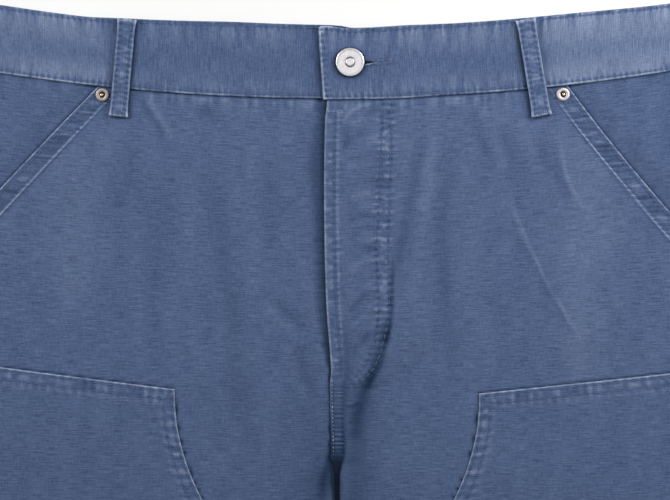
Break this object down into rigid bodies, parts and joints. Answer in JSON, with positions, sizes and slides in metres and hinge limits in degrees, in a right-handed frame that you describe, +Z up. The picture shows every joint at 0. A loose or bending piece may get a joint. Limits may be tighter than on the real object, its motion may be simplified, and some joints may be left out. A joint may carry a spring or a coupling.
{
  "type": "canvas shorts",
  "caption": "Double-knee canvas work shorts laid flat, buttoned at the waist, with slant pockets, belt loops and a stitched fly.",
  "frame": {"origin": "middle of the laid garment's outline on the surface it lies on", "axes": "+X to the wearer's left, across the garment; +Y from the hems to the waist; +Z up, out of the front"},
  "size_m": [0.625, 0.56, 0.0143],
  "materials": {
    "canvas": "garment-washed cotton canvas with slub, matt",
    "button_metal": "satin nickel",
    "rivet_left_metal": "worn nickel",
    "rivet_right_metal": "antique brass",
    "thread": "spun polyester sewing thread"
  },
  "bodies": {
    "root": {"front_left": "canvas", "front_right": "canvas", "back_left": "canvas", "back_right": "canvas", "pocket_facing_left": "canvas", "pocket_facing_right": "canvas", "knee_patch_left": "canvas", "knee_patch_right": "canvas", "waistband_left": "canvas", "waistband_right": "canvas", "waistband_back": "canvas", "belt_loop_front_left": "canvas", "belt_loop_front_right": "canvas", "belt_loop_back_left": "canvas", "belt_loop_back_centre": "canvas", "belt_loop_back_right": "canvas", "button": "button_metal", "rivet_left": "rivet_left_metal", "rivet_right": "rivet_right_metal"}
  },
  "joints": []
}
